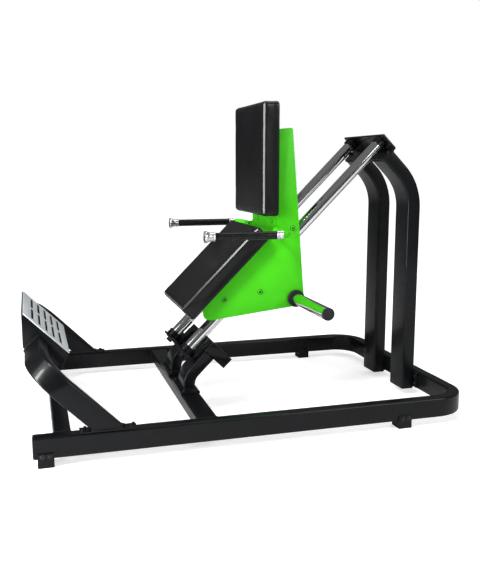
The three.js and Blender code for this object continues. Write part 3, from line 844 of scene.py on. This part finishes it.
def bearings():
    """A tubular housing round each rod, welded to its side plate, with a bush in each end."""
    start, end, outer, inner, ease = 0.266, 0.672, 0.036, 0.0303, 0.0015
    profile = [
        (inner, start), (outer - ease, start), (outer, start + ease), (outer, end - ease),
        (outer - ease, end), (inner, end), (inner, start),
    ]
    for hand, side in SIDES:
        node = f"bearing_housing_{hand}"
        y = mid(node).y
        stand_in(turned(node + "_skin", profile, on_slope(0, y, ROD_RISE), ALONG, BLACK, 56), node)
        for place, rise in (("low", -0.0165), ("high", 0.0165)):
            line_y = y + side * math.sqrt(outer * outer - rise * rise)
            stops = [start + 0.03 + (end - start - 0.06) * i / 8 for i in range(9)]
            points = [on_slope(along, line_y, ROD_RISE + rise) for along in stops]
            bead(f"{node}_weld_{place}", points, 0.0022, "carriage", closed=False)
        refined(f"bush_lower_{hand}", 0.0005, 2)
        refined(f"bush_upper_{hand}", 0.0005, 2)


def weight_horns():
    """Each horn's chromed sleeve, the rubber stop collar at its root and the cap in its end."""
    root, radius, bore, stop, rim, edge = 0.1853, 0.025, 0.021, 0.0375, 0.0255, 0.0022
    for hand, side in SIDES:
        cap_middle = mid(f"weight_horn_cap_{hand}")
        at = Vector((cap_middle.x, 0, cap_middle.z))
        end = abs(cap_middle.y) - 0.004
        collar_end = root + 0.013
        tip = end + 0.008
        sleeve = [
            (bore, root), (radius, root), (radius, end - 0.0016), (radius - 0.0006, end - 0.0006),
            (bore, end - 0.0006), (bore, root),
        ]
        ring = [
            (radius + GAP, root), (stop - 0.001, root),
            *arc((stop - 0.0035, collar_end - 0.0035), 0.0035, 0, 90),
            (0.0285, collar_end), (0.0275, collar_end - 0.0015), (radius + GAP, collar_end - 0.0015),
            (radius + GAP, root),
        ]
        cap = [
            (0, end), (rim, end), *arc((rim - edge, tip - edge), edge, 0, 90),
            (0.019, tip), (0.0182, tip - 0.0007), (0.0172, tip - 0.0007), (0.0164, tip),
            (0.008, tip + 0.0004), (0, tip + 0.0005),
        ]
        for node, profile, material, count in (
            (f"weight_horn_{hand}", sleeve, CHROME, 72),
            (f"weight_horn_collar_{hand}", ring, RUBBER, 64),
            (f"weight_horn_cap_{hand}", cap, PLASTIC, 64),
        ):
            stand_in(turned(node + "_skin", profile, at, Y * side, material, count), node)


# ---------------------------------------------------------------- handles

HANDLE_BEND = 0.045


def handles():
    for hand, side in SIDES:
        bar = f"handle_bar_{hand}"
        low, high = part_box(bar)
        radius = (high.z - low.z) / 2
        z = (low.z + high.z) / 2
        outer = max(abs(low.y), abs(high.y)) - radius
        inner = min(abs(low.y), abs(high.y))
        turn_x = high.x - radius
        path = route((low.x, side * outer, z), X, Z, [
            (turn_x - HANDLE_BEND - low.x, -side * 90, HANDLE_BEND), (outer - HANDLE_BEND - inner, 0, 0),
        ])
        sections = round_section(radius, 40), round_section(radius - WALL, 40)
        stand_in(tube(bar + "_skin", path, *sections, GREEN), bar)
        root = Vector((turn_x, side * (inner + 0.0012), z))
        loop = [root + X * a + Z * b for a, b in round_section(radius + 0.001, 24)]
        weld = bead(f"{bar}_weld", loop, 0.0022, "carriage")
        weld.data.materials[0] = GREEN
        grip(hand, side, outer, z)
        knob(hand, side, outer, z)


def grip(hand, side, y, z):
    """A rubber grip, and the chromed ferrule between it and the bar's bend."""
    node = f"handle_grip_{hand}"
    low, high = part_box(node)
    at = Vector((0, side * y, z))
    wide, bore = 0.016, 0.0143
    start, end = low.x, high.x
    profile = [
        (bore, start), (wide - 0.001, start), *arc((wide - 0.0015, start + 0.0015), 0.0015, -90, 0, 3),
        (wide, end - 0.0015), (wide - 0.001, end), (bore, end), (bore, start),
    ]
    stand_in(turned(node + "_skin", profile, at, X, GRIP_RUBBER, 48), node)
    ferrule = [
        (bore, end + 0.0004), (0.0172, end + 0.0004), (0.018, end + 0.0012), (0.018, end + 0.012),
        (0.0168, end + 0.0132), (0.0168, end + 0.0148), (0.018, end + 0.016), (0.018, end + 0.0262),
        (0.0172, end + 0.027), (bore, end + 0.027), (bore, end + 0.0004),
    ]
    trim(turned(f"grip_ferrule_{hand}", ferrule, at, X, SATIN_CHROME, 56), "carriage")


def knob(hand, side, y, z):
    """The bell-shaped end of a grip: a wide rim at its tip that curves in to the grip."""
    node = f"handle_knob_{hand}"
    low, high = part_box(node)
    wide = (high.z - low.z) / 2
    tip, end = low.x, high.x
    neck = 0.0175
    cove = [
        (neck + (wide - 0.001 - neck) * (1 - math.sin(math.radians(a))), tip + 0.009 + 0.016 * a / 90)
        for a in range(0, 91, 15)
    ]
    profile = [
        (0, tip + 0.003), (0.010, tip + 0.0028), (wide - 0.009, tip + 0.0022), (wide - 0.006, tip + 0.0004),
        *arc((wide - 0.003, tip + 0.003), 0.003, -90, 0), (wide, tip + 0.007), *cove,
        (neck, end - 0.006), (neck + 0.0012, end - 0.005), (neck + 0.0012, end - 0.0012),
        (neck, end), (0, end),
    ]
    stand_in(turned(node + "_skin", profile, (0, side * y, z), X, SATIN_CHROME, 64), node)


# ---------------------------------------------------------------- pads

PAD_VOXEL = 0.005
PAD_SWELL = 0.004  # how far the cloth may move a point
PAD_SHARE = 0.6  # how much of that movement is kept
PAD_PROUD = 0.003  # how far the cover stands out past the CAD solid's sides and front
PAD_BAND = 0.0065  # how wide the flat bands along the front seams start
PAD_CORNER, PAD_FRONT_RIM, PAD_BACK_RIM = 0.018, 0.007, 0.005
PAD_DOME, PAD_WAIST = 0.0035, 0.0022
SIM_FRAMES = 20
SEAT_SPAN = (0.133, 0.605, 0.445, 0.513)  # the seat pad's start and end along the slope, back and front


def ease(bm, edges, offset, segments):
    bmesh.ops.bevel(bm, geom=edges, offset=offset, segments=segments, profile=0.5, affect="EDGES")


def pad_form(name, length, width, thick):
    """A cushion's starting shape, back face on z = 0: a box with eased edges and corners."""
    bm = bmesh.new()
    bmesh.ops.create_cube(bm, size=1)
    size = Vector((length + 2 * PAD_PROUD, width + 2 * PAD_PROUD, thick + PAD_PROUD))
    bmesh.ops.scale(bm, vec=size, verts=bm.verts)
    bmesh.ops.translate(bm, vec=(0, 0, size.z / 2), verts=bm.verts)
    upright = [e for e in bm.edges if abs((e.verts[0].co - e.verts[1].co).normalized().z) > 0.9]
    ease(bm, upright, PAD_CORNER, 6)
    rims = [e for e in bm.edges if len(e.link_faces) == 2 and e.calc_face_angle() > math.radians(60)]
    front = [e for e in rims if e.verts[0].co.z > size.z / 2]
    back = [e for e in rims if e.verts[0].co.z <= size.z / 2]
    ease(bm, front, PAD_FRONT_RIM, 3)
    ease(bm, [e for e in back if e.is_valid], PAD_BACK_RIM, 3)
    return made(name, bm, LEATHER, 180)


def apply_modifiers(piece):
    """The piece's mesh becomes what its modifiers make of it."""
    evaluated = piece.evaluated_get(bpy.context.evaluated_depsgraph_get())
    mesh = bpy.data.meshes.new_from_object(evaluated)
    piece.modifiers.clear()
    piece.data = mesh


def inflate(piece, thick):
    """Cloth pressure swells the cover. No point moves past the cap, and the back stays flat on its board."""
    remesh = piece.modifiers.new("remesh", "REMESH")
    remesh.mode = "VOXEL"
    remesh.voxel_size = PAD_VOXEL
    apply_modifiers(piece)
    start = [v.co.copy() for v in piece.data.vertices]
    cloth = piece.modifiers.new("cloth", "CLOTH")
    cloth.settings.use_pressure = True
    cloth.settings.uniform_pressure_force = 4
    cloth.settings.effector_weights.gravity = 0
    cloth.settings.quality = 5
    scene = bpy.context.scene
    for number in range(1, SIM_FRAMES + 1):
        scene.frame_set(number)
    apply_modifiers(piece)
    scene.frame_set(1)
    for vertex, rest in zip(piece.data.vertices, start):
        moved = vertex.co - rest
        if moved.length > PAD_SWELL:
            moved.length = PAD_SWELL
        moved *= PAD_SHARE
        on_back = min(max(rest.z / (thick * 0.35), 0), 1)
        vertex.co = rest + moved * on_back
        vertex.co.z = max(vertex.co.z, 0)


def crown(piece, length, width, thick):
    """The front face stands a little higher in its middle, and the sides draw in between the corners."""
    for vertex in piece.data.vertices:
        u = vertex.co.x / (length / 2)
        v = vertex.co.y / (width / 2)
        height = vertex.co.z / thick
        dome = max(0, 1 - u * u) * max(0, 1 - v * v)
        vertex.co.z += PAD_DOME * dome * height ** 3
        waist = PAD_WAIST * math.sin(math.pi * min(max(height, 0), 1))
        vertex.co.x -= waist * math.copysign(1, u) * max(0, abs(u) - 0.75) * 4 * (1 - v * v)
        vertex.co.y -= waist * math.copysign(1, v) * max(0, abs(v) - 0.75) * 4 * (1 - u * u)


def crisp_rims(piece, length, width, thick):
    """The long seams round the front lie in narrow flat bands, as over a stiff foam core."""
    for vertex in piece.data.vertices:
        for axis, half in ((0, length / 2), (1, width / 2)):
            beyond = PAD_BAND - (thick - vertex.co.z) - (half - abs(vertex.co[axis]))
            if beyond > 0:
                vertex.co.z -= beyond / 2
                vertex.co[axis] -= math.copysign(beyond / 2, vertex.co[axis])


def pad(node, length, width, thick, place):
    """A cushion with its cover's seams, put where its CAD solid is."""
    piece = pad_form(node + "_cushion", length, width, thick)
    inflate(piece, thick)
    crown(piece, length, width, thick)
    smooth = piece.modifiers.new("smooth", "SMOOTH")
    smooth.factor = 0.5
    smooth.iterations = 6
    apply_modifiers(piece)
    crisp_rims(piece, length, width, thick)
    finer = piece.modifiers.new("finer", "SUBSURF")
    finer.levels = finer.render_levels = 1
    apply_modifiers(piece)
    shade(piece, 180)
    piece.data.transform(place)
    stand_in(piece, node)
    back_welt(node, length, width, place)


def back_welt(node, length, width, place):
    """The piped seam where the cover folds under at the back of a pad."""
    section = rounded_section(length - 0.010, width - 0.010, 0.016, 8)
    loop = [place @ Vector((a, b, 0.0052)) for a, b in section]
    cord = bead(f"{node}_welt", loop, 0.0022, "carriage", ripple=0.05, pitch=0.006)
    cord.data.materials[0] = LEATHER


def pads():
    low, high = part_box("back_pad")
    centre = (low + high) / 2
    turn = Matrix.Rotation(math.radians(-90), 4, "Y")
    place = Matrix.Translation((high.x, 0, centre.z)) @ turn
    pad("back_pad", high.z - low.z, high.y - low.y, high.x - low.x, place)
    low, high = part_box("seat_pad")
    start, end, back, front = SEAT_SPAN
    lean = Matrix.Rotation(math.radians(-45), 4, "Y")
    place = Matrix.Translation(on_slope((start + end) / 2, 0, back)) @ lean
    pad("seat_pad", end - start, high.y - low.y, front - back, place)
    refined("seat_board", 0.0006, 1)
    refined("back_board", 0.0006, 1)


# ---------------------------------------------------------------- studio


FLOOR_HALF = 30
LIGHTS = {
    "key": {"at": (-2.6, -1.7, 4.2), "aim": (0, 0, 0.5), "size": (0.8, 0.8), "power": 140},
    "side": {"at": (-4.1, -1.2, 2.7), "aim": (-0.5, -0.3, 0.5), "size": (1.8, 1.8), "power": 45},
    "strip": {"at": (-3.4, -1.3, 1.1), "aim": (0.1, -0.1, 1.0), "size": (0.42, 2.2), "power": 140},
    "fill": {"at": (2.9, -4.2, 2.8), "aim": (0, 0, 0.6), "size": (2.6, 2.0), "power": 135},
    "top": {"at": (1.3, 0.6, 4.2), "aim": (0.2, 0, 0), "size": (2.0, 2.4), "power": 50},
}


def studio_floor():
    """A pale floor that glows for the camera alone, so that it fades to white away from the machine."""
    bm = bmesh.new()
    bmesh.ops.create_grid(bm, x_segments=2, y_segments=2, size=FLOOR_HALF)
    shader = Shader("studio_floor", (0.8, 0.8, 0.8), 0.9, Specular_IOR_Level=0.1)
    shader.tint(shader.noise(0.4, 2), 0.995, 1.005)
    reach = shader.tree.nodes.new("ShaderNodeVectorMath")
    reach.operation = "LENGTH"
    shader.link(shader.place, reach.inputs[0])
    glow = shader.ranged(reach.outputs["Value"], 0.62, 1.0, 1.0, 4.0)
    seen = shader.tree.nodes.new("ShaderNodeMath")
    seen.operation = "MULTIPLY"
    shader.link(glow, seen.inputs[0])
    shader.link(shader.tree.nodes.new("ShaderNodeLightPath").outputs["Is Camera Ray"], seen.inputs[1])
    shader.set("Emission Color", (1, 1, 1, 1))
    shader.link(seen.outputs["Value"], shader.bsdf.inputs["Emission Strength"])
    made("studio_floor", bm, shader.material)


def studio_world():
    """White where the camera looks, and a dim dome that brightens upwards for the light it gives."""
    world = bpy.data.worlds.new("studio")
    world.use_nodes = True
    tree = world.node_tree
    dome = tree.nodes["Background"]
    seen = tree.nodes.new("ShaderNodeBackground")
    for node in (dome, seen):
        node.inputs["Color"].default_value = (1, 1, 1, 1)
    direction = tree.nodes.new("ShaderNodeTexCoord")
    height = tree.nodes.new("ShaderNodeSeparateXYZ")
    tree.links.new(direction.outputs["Generated"], height.inputs["Vector"])
    strength = tree.nodes.new("ShaderNodeMapRange")
    for socket, number in (("From Min", 0.05), ("From Max", 0.35), ("To Min", 0.02), ("To Max", 0.15)):
        strength.inputs[socket].default_value = number
    tree.links.new(height.outputs["Z"], strength.inputs["Value"])
    tree.links.new(strength.outputs["Result"], dome.inputs["Strength"])
    mix = tree.nodes.new("ShaderNodeMixShader")
    tree.links.new(tree.nodes.new("ShaderNodeLightPath").outputs["Is Camera Ray"], mix.inputs["Fac"])
    tree.links.new(dome.outputs["Background"], mix.inputs[1])
    tree.links.new(seen.outputs["Background"], mix.inputs[2])
    tree.links.new(mix.outputs["Shader"], tree.nodes["World Output"].inputs["Surface"])
    bpy.context.scene.world = world


def studio():
    studio_floor()
    studio_world()
    for name, lamp in LIGHTS.items():
        light = bpy.data.lights.new(name, "AREA")
        light.shape = "RECTANGLE"
        light.size, light.size_y = lamp["size"]
        light.energy = lamp["power"]
        holder = bpy.data.objects.new(name, light)
        holder.location = lamp["at"]
        aim = Vector(lamp["aim"]) - Vector(lamp["at"])
        holder.rotation_euler = aim.to_track_quat("-Z", "Y").to_euler()
        bpy.context.scene.collection.objects.link(holder)
    view = bpy.context.scene.view_settings
    view.view_transform = "Standard"
    view.look = "None"


make_camera()
floor_frame()
cross_tubes()
feet()
foot_legs()
foot_plate()
uprights()
posts()
top_bracket()
guide_rods()
carriage_shell()
bearings()
weight_horns()
handles()
pads()
studio()
